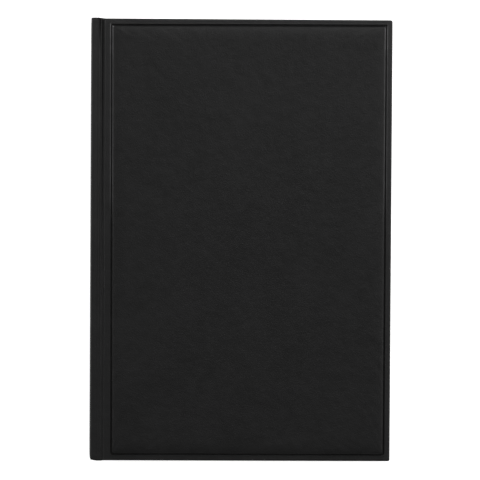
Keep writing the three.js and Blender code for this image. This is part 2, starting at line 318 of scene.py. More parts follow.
def sewn_section(number):
    """Folded sheets inside one another, each with half circles that are a leaf's pitch smaller
    than the last, and each trimmed by a hair less or more than its neighbours."""
    node = f"section_{number:02d}"
    low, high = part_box(node)
    middle = (low.z + high.z) / 2
    fold = low.x + (high.z - low.z) / 2
    half = high.y
    reach = bend_reach(hinge_z - middle)
    points, quads, uv, tone = [], [], [], []
    count = 0
    for sheet in range(SHEETS_IN_SECTION):
        spread = (high.z - low.z) / 2 - (sheet + 0.5) * LEAF_PITCH
        end = high.x - rng.uniform(0, TRIM_SCATTER)
        path = folded_sheet(fold, fold + reach, end, middle, spread)
        part, faces = strip_along(path, PAPER_THICKNESS, half - rng.uniform(0, TRIM_SCATTER))
        points.append(part)
        quads.append(faces + count)
        uv.append(np.stack([(part[:, 0] - low.x) / UV_SPAN, (part[:, 1] + half) / UV_SPAN], -1))
        tone.append(np.full(len(part), rng.uniform()))
        count += len(part)
    piece = make_piece(f"leaves_of_{node}", np.concatenate(points), np.concatenate(quads))
    set_uv(piece, np.concatenate(uv))
    set_values(piece, "sheet_tone", np.concatenate(tone))
    normals = np.empty(len(piece.data.polygons) * 3, np.float32)
    piece.data.polygons.foreach_get("normal", normals)
    set_values(piece, "page_face", np.abs(normals.reshape(-1, 3)[:, 2]) > LYING_FLAT, "FACE")
    put_on(piece, PAGE_PAPER, "pages", node)
    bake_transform(piece)


PAGE_PAPER = page_material()
for number in range(1, SECTION_COUNT + 1):
    sewn_section(number)

# Endpapers
# A folded sheet of stout cream paper at each end of the block. One half is the flyleaf, tipped
# to the first section along its fold, and the other is pasted down inside the cover, where it
# crosses the joint and sinks a little between the turned-in edges of the covering.
SIDES = (("front", 1), ("back", -1))
ENDPAPER_FINISH = (0.8, 0.25)
ENDPAPER_COLOUR, ENDPAPER_TONES = (0.76, 0.71, 0.60), (0.93, 1.05)
ENDPAPER_FIBRES = (160.0, 0.22, 0.04 * mm)
ENDPAPER_STEPS, ENDPAPER_JOINT_STEPS = 90, 12
FLYLEAF_STATIONS = 9
PASTEDOWN_SINK = 0.22 * mm
TURN_IN_WIDTH = 14 * mm
SINK_WIDTH = 3 * mm


def endpaper_material():
    """Cream paper with a little more tooth than the pages."""
    made, tree, shader = new_material("cream_endpaper", ENDPAPER_FINISH)
    cloud, bump = paper_fibres(tree, own_uv(tree), *ENDPAPER_FIBRES)
    return painted(made, shader, toned(tree, cloud, ENDPAPER_COLOUR, ENDPAPER_TONES), bump)


def ease(value):
    """0 below 0, 1 above 1, and a smooth S between."""
    value = np.clip(value, 0, 1)
    return value * value * (3 - 2 * value)


def flyleaf(side):
    """A flat sheet whose steps from the fold grow as a square, so that it bends smoothly there."""
    node = f"{side}_flyleaf"
    low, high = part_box(node)
    x = low.x + (high.x - low.x) * np.linspace(0, 1, ENDPAPER_STEPS) ** 2
    path = np.stack([x, np.full(ENDPAPER_STEPS, (low.z + high.z) / 2)], -1)
    points, quads = strip_along(path, high.z - low.z, high.y, FLYLEAF_STATIONS)
    piece = make_piece(f"{side}_endpaper_flyleaf", points, quads)
    set_uv(piece, (points[:, :2] - [low.x, low.y]) / UV_SPAN)
    put_on(piece, ENDPAPER, "endpaper", node)
    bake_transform(piece)


def pastedown(side, out):
    """out is +1 on the side above the pages and -1 on the side below them. The sheet sinks
    outwards by a smooth step inside the turned-in edges, on three sides."""
    node = f"{side}_pastedown"
    low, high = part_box(node)
    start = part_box(f"{side}_flyleaf")[0].x
    over_joint = np.linspace(start, low.x, ENDPAPER_JOINT_STEPS)[:-1]
    x = np.concatenate([over_joint, np.linspace(low.x, high.x, ENDPAPER_STEPS)])
    y = np.linspace(low.y, high.y, ENDPAPER_STEPS)
    thickness = high.z - low.z
    turned_in = TURN_IN_WIDTH - (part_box(f"{side}_skin")[1].x - high.x)
    sink_x = ease((high.x - x - turned_in) / SINK_WIDTH) * ease((x - low.x) / SINK_WIDTH)
    sink_y = ease((high.y - np.abs(y) - turned_in) / SINK_WIDTH)
    sink = PASTEDOWN_SINK * sink_x[None, :] * sink_y[:, None]
    inner = (low.z if out > 0 else high.z) + out * sink
    rows, columns = inner.shape
    grid_x, grid_y = np.meshgrid(x, y)
    sheets = [np.stack([grid_x, grid_y, inner + level], -1).reshape(-1, 3) for level in (0, out * thickness)]
    points = np.concatenate(sheets)
    cell = (np.arange(rows - 1)[:, None] * columns + np.arange(columns - 1)).ravel()
    corner = np.stack([cell, cell + 1, cell + columns + 1, cell + columns], -1)
    rim = np.concatenate([
        np.arange(columns),
        np.arange(2, rows) * columns - 1,
        np.arange(rows * columns - 1, (rows - 1) * columns, -1),
        np.arange(rows - 1, 0, -1) * columns,
    ])
    step = rows * columns
    wall = np.stack([rim, np.roll(rim, -1), np.roll(rim, -1) + step, rim + step], -1)
    quads = np.concatenate([corner[:, ::-1], corner + step, wall])
    piece = make_piece(f"{side}_endpaper_pastedown", points, quads if out > 0 else quads[:, ::-1])
    set_uv(piece, (points[:, :2] - [start, low.y]) / UV_SPAN)
    put_on(piece, ENDPAPER, "endpaper", node)
    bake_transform(piece)


ENDPAPER = endpaper_material()
for side, out in SIDES:
    flyleaf(side)
    pastedown(side, out)

# Boards, lining and mull
# Solid greyboard stiffens each cover. Kraft paper lines the spine, and open gauze is glued over
# the backs of the sections and on to the boards, which holds the block in its case.
PULP_FINISH = (0.92, 0.2)
PULP_TONES = (0.75, 1.2)
PULP_RELIEF = (0.4, 0.08 * mm)
FLECKS_PER_FIBRE, FLECK_SIZE = 2.5, 0.16
FLECK_SHARE, FLECK_TONE = 0.5, 0.35
BOARD_COLOUR, BOARD_FIBRES_PER_METRE = (0.27, 0.245, 0.20), 260.0
KRAFT_COLOUR, KRAFT_FIBRES_PER_METRE = (0.36, 0.23, 0.12), 420.0
GAUZE_FINISH = (0.95, 0.1)
GAUZE_COLOUR, GAUZE_TONES = (0.70, 0.66, 0.56), (0.35, 1)
GAUZE_THREADS_PER_METRE = 900.0
GAUZE_THREAD_WIDTH = 0.5
GAUZE_RELIEF = (0.6, 0.1 * mm)


def cells(tree, place, per_metre, feature="F1"):
    """The distance from the middles, or the edges, of cells that lie close together."""
    inputs = {"Vector": place, "Scale": per_metre}
    return add_node(tree, "ShaderNodeTexVoronoi", inputs, feature=feature).outputs["Distance"]


def pulp_material(name, colour, per_metre):
    """Pressed pulp: a cloudy ground with dark flecks."""
    made, tree, shader = new_material(name, PULP_FINISH)
    place = own_place(tree)
    cloud, bump = paper_fibres(tree, place, per_metre, *PULP_RELIEF)
    fleck = maths(tree, "LESS_THAN", cells(tree, place, FLECKS_PER_FIBRE * per_metre), FLECK_SIZE)
    fleck = times(tree, fleck, FLECK_SHARE)
    tint = mixed(tree, fleck, toned(tree, cloud, colour, PULP_TONES), scaled(colour, FLECK_TONE))
    return painted(made, shader, tint, bump)


def gauze_material():
    """Open plain weave: a sine wave for the threads of each direction, with dark holes between."""
    made, tree, shader = new_material("mull_gauze", GAUZE_FINISH)
    axes = add_node(tree, "ShaderNodeSeparateXYZ", {0: own_place(tree)}).outputs
    waves = []
    for axis in axes:
        turn = times(tree, axis, 2 * math.pi * GAUZE_THREADS_PER_METRE)
        waves.append(maths(tree, "MULTIPLY_ADD", maths(tree, "SINE", turn), 0.5))
    threads = maths(tree, "MAXIMUM", maths(tree, "ADD", waves[0], waves[2]), waves[1])
    threads = maths(tree, "ADD", threads, GAUZE_THREAD_WIDTH, clamp=True)
    tint = toned(tree, threads, GAUZE_COLOUR, GAUZE_TONES)
    return painted(made, shader, tint, relief(tree, threads, *GAUZE_RELIEF))


def dress(node, material):
    """Gives a CAD node that is shown as it is a finish of its own."""
    shown = frame["nodes"][node]
    shown.data.materials.clear()
    shown.data.materials.append(material)


GREYBOARD = pulp_material("greyboard", BOARD_COLOUR, BOARD_FIBRES_PER_METRE)
KRAFT = pulp_material("kraft_paper", KRAFT_COLOUR, KRAFT_FIBRES_PER_METRE)
GAUZE = gauze_material()
for node in ("front_board", "back_board"):
    dress(node, GREYBOARD)
dress("spine_lining", KRAFT)
for node in ("spine_mull", "front_mull_flap", "back_mull_flap"):
    dress(node, GAUZE)

# Padded covers
# One sheet of grained imitation leather covers each board. It is drawn over a sheet of foam,
# turned in by a thumb's width on the inner side and mitred at the fore-edge corners. A hot tool
# has pressed a fine frame line through the foam onto the board, so the panel inside it swells.
GLUE = 0.05 * mm
SKIN = 0.4 * mm
FRAME_INSET = 2.7 * mm
JOINT_SHIFT, JOINT_SHIFT_WIDTH = 0.7 * mm, 1.1 * mm
LINE_WIDTH = 0.8 * mm
LINE_DEPTH, LINE_STEEPNESS = 0.37 * mm, 1.25
LINE_FROM, LINE_TO, LINE_STEPS = 0.9, -1.1, 41
LIP_HEIGHT, LIP_WIDTH, LIP_PLACE = 0.04 * mm, 0.2 * mm, 0.7
HEAD_SKEW, SPINE_SKEW = 0.45 * mm, 0.33 * mm
CROWN_WIDTH = 9 * mm
CROWN_FULLNESS = 3.0
CROWN_FOOT = 0.25 * mm
CROWN_STEPS, MIDDLE_STEPS = 30, 10
MIDDLE_INSET = 58 * mm
PANEL_CORNER, PANEL_CORNER_GROWTH = 0.45 * mm, 1.1
RIM_INSETS = (1.6 * mm, 1.1 * mm)
EDGE_RADIUS, UNDER_EDGE_RADIUS, EDGE_STEPS = 0.8 * mm, 0.35 * mm, 9
FORE_CORNER, JOINT_CORNER, FOLDED_CORNER = 1.0 * mm, 0.12 * mm, 0.25 * mm
CORNER_INSET = 0.2 * mm
TURN_IN_STEPS = 12
JOINT_LIP = 1.2 * mm
UNDER_LINE = 0.3 * mm
MITRE_DEPTH = 0.16 * mm
SIDE_STEPS = (110, 75)
CORNER_STEPS = 8
STEP_GAP = 0.05 * mm
PUCKER_HEIGHT, PUCKER_FOOT, PUCKER_LENGTH = 0.045 * mm, 0.8 * mm, 6.5 * mm
PUCKER_COUNTS, FINE_PUCKER_SHARE = (53, 17, 91), 0.6
COVERING_SHARP_ANGLE = 50

cover_low, cover_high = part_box("front_skin")
under_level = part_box("front_board")[1].z + GLUE
rim_level = under_level + SKIN


def rounded_rings(left, right, low, high, left_radius, right_radius):
    """Rounded rectangles, one row for each entry of the arrays, counter-clockwise from the lower
    right corner: quarter circles at the corners and equal steps between them."""
    turn = np.linspace(0, np.pi / 2, CORNER_STEPS + 1)
    radii = [right_radius, right_radius, left_radius, left_radius]
    centres = [
        (right - right_radius, low + right_radius),
        (right - right_radius, high - right_radius),
        (left + left_radius, high - left_radius),
        (left + left_radius, low + left_radius),
    ]
    corners = []
    for quarter, (radius, (x, y)) in enumerate(zip(radii, centres)):
        angle = turn + (quarter - 1) * np.pi / 2
        x = x[:, None] + radius[:, None] * np.cos(angle)
        y = y[:, None] + radius[:, None] * np.sin(angle)
        corners.append(np.stack([x, y], -1))
    parts = []
    for quarter, corner in enumerate(corners):
        following = corners[(quarter + 1) % 4]
        share = np.linspace(0, 1, SIDE_STEPS[quarter % 2] + 1)[1:-1, None]
        parts += [corner, corner[:, -1:] * (1 - share) + following[:, :1] * share]
    return np.concatenate(parts, axis=1)


def ring_faces(rows, columns):
    """Quads between the rings and fans that close the first and the last ring to their middles,
    whose points follow the rings' own."""
    here = np.arange(columns)
    ahead = (here + 1) % columns
    row = columns * np.arange(rows - 1)[:, None]
    quads = np.stack([row + here, row + columns + here, row + columns + ahead, row + ahead], -1)
    first = np.stack([np.full(columns, rows * columns), here, ahead], -1)
    end = columns * (rows - 1)
    last = np.stack([np.full(columns, rows * columns + 1), end + ahead, end + here], -1)
    return quads.reshape(-1, 4), np.concatenate([first, last])


def closed_rings(rings):
    """Adds the two middles to an array of rings and returns points, quads and triangles."""
    rows, columns, _ = rings.shape
    middles = np.stack([rings[0].mean(0), rings[-1].mean(0)])
    quads, triangles = ring_faces(rows, columns)
    return np.concatenate([rings.reshape(-1, 3), middles]), quads, triangles


def for_points(values, rings):
    """One value for each point of closed rings, with 0 at the two middles."""
    return np.append(np.broadcast_to(values, rings.shape[:2]).ravel(), [0, 0])


def mirrored(points, faces, out):
    """Leaves a front piece as it is, and mirrors it about the planner's mid height for the back."""
    if out < 0:
        points = points * [1, 1, -1] + [0, 0, cad_low.z + cad_high.z]
        faces = [face[:, ::-1] for face in faces]
    return points, faces


def line_profile(distance):
    """Height beside the rim at a distance from the frame line's middle: a steep-sided trough
    with a low lip thrown up on either side."""
    away = np.abs(distance)
    trough = -LINE_DEPTH * np.clip(LINE_STEEPNESS * (1 - away / (0.5 * LINE_WIDTH)), 0, 1)
    lip = LIP_HEIGHT * np.exp(-(((away - LIP_PLACE * LINE_WIDTH) / LIP_WIDTH) ** 2))
    return trough + lip


def panel_path(drop):
    """Insets and heights from the flat middle to the frame line's inner side. The panel rises
    along a quarter of a superellipse, lowered by drop for the layers under it."""
    start = FRAME_INSET + LINE_WIDTH
    top = cover_high.z
    line_level = rim_level - CROWN_FOOT
    turn = np.linspace(np.pi / 2, 0, CROWN_STEPS)
    reach = CROWN_WIDTH * (1 - np.abs(np.cos(turn)) ** (2 / CROWN_FULLNESS))
    height = line_level + (top - line_level) * np.sin(turn) ** (2 / CROWN_FULLNESS)
    middle = np.linspace(MIDDLE_INSET, start + CROWN_WIDTH, MIDDLE_STEPS)[:-1]
    inset = np.concatenate([middle, start + reach])
    z = np.concatenate([np.full(len(middle), top), height]) - drop
    return inset, np.maximum(z, under_level)


def panel_radius(inset):
    """The panel's corners grow rounder with the distance inside the frame line."""
    return PANEL_CORNER + PANEL_CORNER_GROWTH * np.clip(inset - FRAME_INSET - LINE_WIDTH, 0, CROWN_WIDTH)


def near_head(along):
    """0 up to four fifths of the way from the middle to the head, and a smooth rise to 1 there."""
    return ease(5 * along - 4)


def cover_outline(inset, joint_inset, left_radius, right_radius, z):
    """Rings of the cover's outline, set in by an inset of their own on each ring. The tool was set
    a little askew. From the frame line inwards the joint side leans by SPINE_SKEW, towards the
    spine at the head and away from it at the tail, and the head side climbs by HEAD_SKEW from
    the joint to the fore-edge."""
    low, high = cover_low, cover_high
    flat = rounded_rings(
        low.x + joint_inset, high.x - inset, low.y + inset, high.y - inset, left_radius, right_radius
    )
    across = (flat[..., 0] - low.x) / (high.x - low.x)
    along = flat[..., 1] / high.y
    pressed = (ease(inset / FRAME_INSET) * (joint_inset > inset))[:, None]
    flat[..., 0] -= SPINE_SKEW * along * (1 - across) * pressed
    flat[..., 1] += HEAD_SKEW * across * pressed * near_head(along)
    rise = np.broadcast_to(z[:, None], flat.shape[:2])
    return np.concatenate([flat, rise[..., None]], -1)


def covering_rings():
    """The covering's way out over the panel, through the frame line, over the rim, round the
    edge, in under the board and back along its own inner side. Returns each ring's inset, the
    rings, and how many of them lie on the outside."""
    panel_inset, panel_z = panel_path(0)
    line = np.linspace(LINE_FROM * LINE_WIDTH, LINE_TO * LINE_WIDTH, LINE_STEPS)
    line_inset = FRAME_INSET + LINE_WIDTH / 2 + line
    line_z = rim_level + line_profile(line)
    crown = np.interp(line_inset, panel_inset[::-1], panel_z[::-1])
    line_z = np.where(line_inset > FRAME_INSET + LINE_WIDTH, np.maximum(crown, line_z), line_z)
    keep = panel_inset > line_inset[0] + STEP_GAP
    quarter = np.linspace(0, np.pi / 2, EDGE_STEPS)
    edge_z = rim_level - EDGE_RADIUS * (1 - np.cos(quarter))
    under_z = cover_low.z + UNDER_EDGE_RADIUS * (1 - np.sin(quarter))
    turn_in = np.linspace(UNDER_EDGE_RADIUS, TURN_IN_WIDTH, TURN_IN_STEPS)[1:]
    folded_z = cover_low.z + SKIN
    below_inset, below_z = panel_path(SKIN)
    stretches = (
        (panel_inset[keep], panel_z[keep]),
        (line_inset, line_z),
        (RIM_INSETS, (rim_level, rim_level)),
        (EDGE_RADIUS * (1 - np.sin(quarter)), edge_z),
        (UNDER_EDGE_RADIUS * (1 - np.cos(quarter)), under_z),
        (turn_in, np.full(len(turn_in), cover_low.z)),
        (
            (TURN_IN_WIDTH, SKIN, SKIN, FRAME_INSET + UNDER_LINE),
            (folded_z, folded_z, under_level, under_level),
        ),
        (below_inset[::-1], below_z[::-1]),
    )
    inset, z = (np.concatenate(parts) for parts in zip(*stretches))
    # The outside ends with the round edge, and the fold lies beyond the rounding under it.
    outer, folded_from, folded_to = np.cumsum([len(heights) for _, heights in stretches])[3:6]
    turned_in = slice(folded_from, folded_to + 1)
    back_out = slice(folded_to + 1, folded_to + 3)
    joint_inset = inset + JOINT_SHIFT * ease((inset - EDGE_RADIUS) / JOINT_SHIFT_WIDTH)
    joint_inset[turned_in] = inset[turned_in] * JOINT_LIP / TURN_IN_WIDTH
    joint_inset[back_out] = SKIN
    rim_share = ease((inset - CORNER_INSET) / FRAME_INSET)
    left_radius = JOINT_CORNER * (1 - rim_share) + panel_radius(inset) * rim_share
    right_radius = FORE_CORNER * (1 - rim_share) + panel_radius(inset) * rim_share
    left_radius[folded_from : back_out.stop] = right_radius[folded_from : back_out.stop] = FOLDED_CORNER
    rings = cover_outline(inset, joint_inset, left_radius, right_radius, z)
    mitres = CORNER_STEPS // 2 + np.array([0, CORNER_STEPS + SIDE_STEPS[0]])
    rings[folded_from - 1 : folded_to, mitres, 2] += MITRE_DEPTH
    return inset, rings, outer


def puckers(inset, columns):
    """Heights of the fine waves beside the frame line, where the tool has drawn the sheet tight:
    round each ring the product of two sines plus a finer one, dying away towards the middle of
    the panel as an exponential."""
    around = np.linspace(0, 2 * np.pi, columns, endpoint=False)
    narrow, wide, fine = (np.sin(count * around + phase) for phase, count in enumerate(PUCKER_COUNTS))
    wave = narrow * wide + FINE_PUCKER_SHARE * fine
    beyond = inset - FRAME_INSET - LINE_WIDTH
    fade = ease(beyond / PUCKER_FOOT) * np.exp(-np.clip(beyond, 0, None) / PUCKER_LENGTH)
    return PUCKER_HEIGHT * fade[:, None] * wave[None, :] * (beyond[:, None] < CROWN_WIDTH)


# The leatherette: colours, grain, the marks of hands and the hot tool, and painted highlights and shade.
LEATHERETTE_FINISH = (0.5, 0.31)
LEATHERETTE_COLOUR = (0.0037, 0.0037, 0.0038)
# The paler colour of worn places and of painted highlights.
WORN_AND_HIGHLIGHT_COLOUR = (0.0155, 0.0155, 0.0158)
# The grey of the glint painted on the burnished lips.
PAINTED_GLINT_COLOUR = (0.11, 0.11, 0.112)
# Tones: the grain's creases and the pressed trough are darker as painted shade; the cloud is random.
CREASE_SHADE_TONES, CLOUD_TONE, TROUGH_SHADE_TONE = (0.3, 0.6), 2.6, 0.1
PEBBLES_PER_METRE, CREASES_PER_METRE = 1500.0, 1200.0
FINE_NOISE, BROAD_NOISE, MOTTLE_NOISE = (5200.0, 3.0), (55.0, 3.0), (230.0, 2.5)
WARP_PER_METRE, WARP_REACH = 700.0, 0.4 * mm
CREASE_SHARPNESS = 3.0
CREASE_HEIGHT, PEBBLE_HEIGHT, FINE_HEIGHT, MOTTLE_HEIGHT = 0.55, 0.7, 0.35, 3.0
GRAIN_RELIEF = (0.6, 0.09 * mm)
CLOUD_GAIN, CLOUD_FLOOR = 0.75, 0.45
SCUFF_AND_HIGHLIGHT_SHARE, TROUGH_SHADE_SHARE, PAINTED_GLINT_FLOOR = 1.1, 0.8, 0.4
ROUGHNESS, FINE_ROUGHNESS = 0.40, 0.16
# The marks: worn places with painted highlights, the pressed line with painted shade, the burnish with a
# painted glint.
MARKS, MARK_SMOOTHING = ("edge_wear", "pressed", "burnish_and_glint"), (0.06, 0.12, 0.2)
# Shares of worn colour and painted highlight on the rim, towards the head, on the fore-edge and on the round
# edge.
RIM_WEAR_AND_HIGHLIGHT, HEAD_WEAR_AND_HIGHLIGHT, FORE_WEAR_AND_HIGHLIGHT, FORE_EDGE_WEAR_AND_HIGHLIGHT = 0.2, 0.65, 0.75, 0.5
RIM_FADE, EDGE_FADE = 0.5 * mm, 0.5 * EDGE_RADIUS
HEAD_WEAR_AND_HIGHLIGHT_START = 0.3
TROUGH_WIDTH = 0.42 * LINE_WIDTH
BURNISH_AND_GLINT_WIDTH, BURNISH_AND_GLINT_PLACE = 0.2 * mm, 0.68 * LINE_WIDTH
BURNISH_AND_GLINT_RISES = ((5 * mm, 25 * mm), (85 * mm, 12 * mm))
CORNER_MARGIN = 0.5 * mm


def leatherette_material():
    """Black imitation leather: pebbles with creases between them, shifted by noise, under fine,
    mottled and broad noise, with painted shade in the creases. It is paler and smoother where it
    is worn and where highlights are painted, black in the pressed line, where painted shade adds
    to the tool's darkening, and grey with a painted glint where the tool has burnished it."""
    made, tree, shader = new_material("black_leatherette", LEATHERETTE_FINISH)
    place = add_node(tree, "ShaderNodeAttribute", attribute_name="rest_place").outputs["Vector"]
    warp = add_node(tree, "ShaderNodeTexNoise", {"Vector": place, "Scale": WARP_PER_METRE, "Detail": 2.0})
    shift = {0: warp.outputs["Color"], "Scale": WARP_REACH}
    shift = add_node(tree, "ShaderNodeVectorMath", shift, operation="SCALE").outputs[0]
    moved = add_node(tree, "ShaderNodeVectorMath", {0: place, 1: shift}, operation="ADD").outputs[0]
    pebble = cells(tree, moved, PEBBLES_PER_METRE, "SMOOTH_F1")
    crease = cells(tree, moved, CREASES_PER_METRE, "DISTANCE_TO_EDGE")
    crease = maths(tree, "MULTIPLY", crease, CREASE_SHARPNESS, clamp=True)
    fine, broad, mottle = (noise(tree, place, *kind) for kind in (FINE_NOISE, BROAD_NOISE, MOTTLE_NOISE))
    height = times(tree, crease, CREASE_HEIGHT)
    height = maths(tree, "SUBTRACT", height, times(tree, pebble, PEBBLE_HEIGHT))
    height = maths(tree, "ADD", height, times(tree, fine, FINE_HEIGHT))
    height = maths(tree, "ADD", height, times(tree, mottle, MOTTLE_HEIGHT))
    wear, pressed, burnish_and_glint = marks = [kept_value(tree, name) for name in MARKS]
    scuff_and_highlight = times(tree, wear, times(tree, fine, SCUFF_AND_HIGHLIGHT_SHARE))
    cloud = times(tree, maths(tree, "ADD", broad, mottle), CLOUD_GAIN)
    cloud = maths(tree, "SUBTRACT", cloud, CLOUD_FLOOR, clamp=True)
    # Painted shade: the grain's creases are darker.
    tint = toned(tree, crease, LEATHERETTE_COLOUR, CREASE_SHADE_TONES)
    tint = mixed(tree, cloud, tint, scaled(LEATHERETTE_COLOUR, CLOUD_TONE))
    # Paler where hands have worn it and where highlights are painted: edges, rim, head and fore-edge.
    tint = mixed(tree, scuff_and_highlight, tint, WORN_AND_HIGHLIGHT_COLOUR)
    # Painted shade in the frame line's trough, on top of the tool's darkening.
    painted_trough_shade = times(tree, pressed, TROUGH_SHADE_SHARE)
    tint = mixed(tree, painted_trough_shade, tint, scaled(LEATHERETTE_COLOUR, TROUGH_SHADE_TONE))
    # A painted glint: grey on the burnished lips of the frame line's long sides.
    painted_glint = times(tree, burnish_and_glint, maths(tree, "ADD", mottle, PAINTED_GLINT_FLOOR))
    tint = mixed(tree, painted_glint, tint, PAINTED_GLINT_COLOUR)
    rough = maths(tree, "ADD", ROUGHNESS, times(tree, fine, FINE_ROUGHNESS))
    for mark, smoothing in zip(marks, MARK_SMOOTHING):
        rough = maths(tree, "SUBTRACT", rough, times(tree, mark, smoothing))
    tree.links.new(rough, shader.inputs["Roughness"])
    return painted(made, shader, tint, relief(tree, height, *GRAIN_RELIEF))


def finish_covering(piece, node, **marks):
    """Keeps each point's place at rest for the grain, so that it stays put where the piece bends,
    and the marks on each point, which are 0 where none are given."""
    count = len(piece.data.vertices)
    place = np.empty(count * 3, np.float32)
    piece.data.vertices.foreach_get("co", place)
    kept = piece.data.attributes.new("rest_place", "FLOAT_VECTOR", "POINT")
    kept.data.foreach_set("vector", place)
    for name in MARKS:
        set_values(piece, name, marks.get(name, np.zeros(count)))
    put_on(piece, LEATHERETTE, "covering", node)


def covering_marks(inset, rings, outer):
    """Where the covering is worn with painted highlights, pressed with painted shade and burnished
    with a painted glint, one value for each point. Hands have worn the edges and, less, the rim,
    and highlights are painted on them, most at the head and the fore-edge. The tool burnishes both
    lips of the frame line's long sides, and a glint is painted there, most near the head."""
    x, y = rings[..., 0], rings[..., 1]
    half = cad_high.y
    outside = (np.arange(len(inset)) < outer)[:, None]
    rim = ease((FRAME_INSET - inset) / RIM_FADE)[:, None]
    edge = ease((EDGE_RADIUS - inset) / EDGE_FADE)[:, None]
    fore_edge = x > cad_high.x - FRAME_INSET
    towards_head = ease((y + HEAD_WEAR_AND_HIGHLIGHT_START * half) / ((1 + HEAD_WEAR_AND_HIGHLIGHT_START) * half))
    # Worn places and painted highlights on the rim, more towards the head and along the fore-edge, and on
    # the edge.
    handled_and_lit = RIM_WEAR_AND_HIGHLIGHT + HEAD_WEAR_AND_HIGHLIGHT * towards_head + FORE_WEAR_AND_HIGHLIGHT * fore_edge
    wear = (rim * handled_and_lit * (1 - edge) + edge * (1 + FORE_EDGE_WEAR_AND_HIGHLIGHT * fore_edge)) * outside
    distance = np.abs(inset - FRAME_INSET - LINE_WIDTH / 2)[:, None]
    # The frame line's trough, where shade is painted.
    trough = np.exp(-((distance / TROUGH_WIDTH) ** 4)) * outside
    # Where the tool burnished the lips and a glint is painted, rising towards the head.
    lips = np.exp(-(((distance - BURNISH_AND_GLINT_PLACE) / BURNISH_AND_GLINT_WIDTH) ** 2)) * outside
    long_side = np.abs(y) < np.abs(y).max(axis=1, keepdims=True) - CORNER_MARGIN
    rises = [0.5 * ease((y - start) / width) for start, width in BURNISH_AND_GLINT_RISES]
    burnish_and_glint = lips * long_side * (rises[0] + rises[1])
    return {name: for_points(values, rings) for name, values in zip(MARKS, (wear, trough, burnish_and_glint))}


def covering(side, out):
    """The covering's rings with puckers on the panel, closed in the middle of both of its faces."""
    inset, rings, outer = covering_rings()
    rings[:outer, :, 2] += puckers(inset[:outer], rings.shape[1])
    points, quads, triangles = closed_rings(rings)
    points, (quads, triangles) = mirrored(points, [quads, triangles], out)
    piece = make_piece(f"{side}_covering", points, quads, triangles, sharp=COVERING_SHARP_ANGLE)
    finish_covering(piece, f"{side}_skin", **covering_marks(inset, rings, outer))
    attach(piece, f"{side}_cover")


# The foam under each panel, which is cut to the panel's size and pressed thin at its edges.
FOAM_FINISH = (0.95, 0.1)
FOAM_COLOUR, FOAM_HOLLOW_SHADE_TONES = (0.62, 0.60, 0.55), (0.55, 1)
FOAM_CELLS_PER_METRE = 2200.0
FOAM_RELIEF = (0.7, 0.2 * mm)
FOAM_EDGE = 0.25 * mm


def foam_material():
    """Pale foam with small open cells, with painted shade in their hollows."""
    made, tree, shader = new_material("padding_foam", FOAM_FINISH)
    hollow = cells(tree, own_place(tree), FOAM_CELLS_PER_METRE)
    # Painted shade: darker towards the middle of each open cell.
    tint = toned(tree, hollow, FOAM_COLOUR, FOAM_HOLLOW_SHADE_TONES)
    return painted(made, shader, tint, relief(tree, hollow, *FOAM_RELIEF))


def foam_pad(side, out):
    """Rings under the panel, lowered by the covering and its glue, with a straight edge below."""
    inset, z = panel_path(SKIN + GLUE)
    keep = z > under_level + FOAM_EDGE
    inset = np.append(inset[keep], inset[keep][-1])
    z = np.append(z[keep], under_level)
    radius = panel_radius(inset)
    rings = cover_outline(inset, inset + JOINT_SHIFT, radius, radius, z)
    points, quads, triangles = closed_rings(rings)
    points, (quads, triangles) = mirrored(points, [quads, triangles], out)
    piece = make_piece(f"{side}_padding", points, quads, triangles)
    put_on(piece, FOAM, "padding", f"{side}_foam_pad")
    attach(piece, f"{side}_cover")


LEATHERETTE = leatherette_material()
FOAM = foam_material()
for side, out in SIDES:
    covering(side, out)
    foam_pad(side, out)

# Spine
# The covering runs on round a strip of greyboard, over its two long edges and over its ends,
# where it is turned in and stands a hair higher than the covers. Its tail corners are softly
# bumped, so the board ends a little short of the tail.
SPINE_SHOULDER = 1.2 * mm
SPINE_HEAD_SHOULDER, SPINE_TAIL_SHOULDER = 0.35 * mm, 1.7 * mm
SPINE_TAIL_SLANT = 0.3 * mm
SPINE_TAIL_DROP = 0.3 * mm
SPINE_END_RADIUS, SPINE_INNER_RADIUS = 0.7 * mm, 0.2 * mm
SPINE_MIDDLE_INSET = 10.4 * mm
SPINE_BULGE, SPINE_BULGE_POWER = 0.2 * mm, 4
SPINE_FACE_RINGS = 8
SPINE_TURN_IN, SPINE_ROLL = 12 * mm, 0.2 * mm
SPINE_SIDE_END = 0.3 * mm
SHOULDER_WEAR_AND_HIGHLIGHT = 0.8
SPINE_EDGE_WEAR_AND_HIGHLIGHT, SPINE_HEAD_WEAR_AND_HIGHLIGHT, SPINE_WEAR_AND_HIGHLIGHT_START = 0.25, 0.95, 0.8
SPINE_BOARD_SHORT = 1.1 * mm
SPINE_BOARD_STATIONS = 12


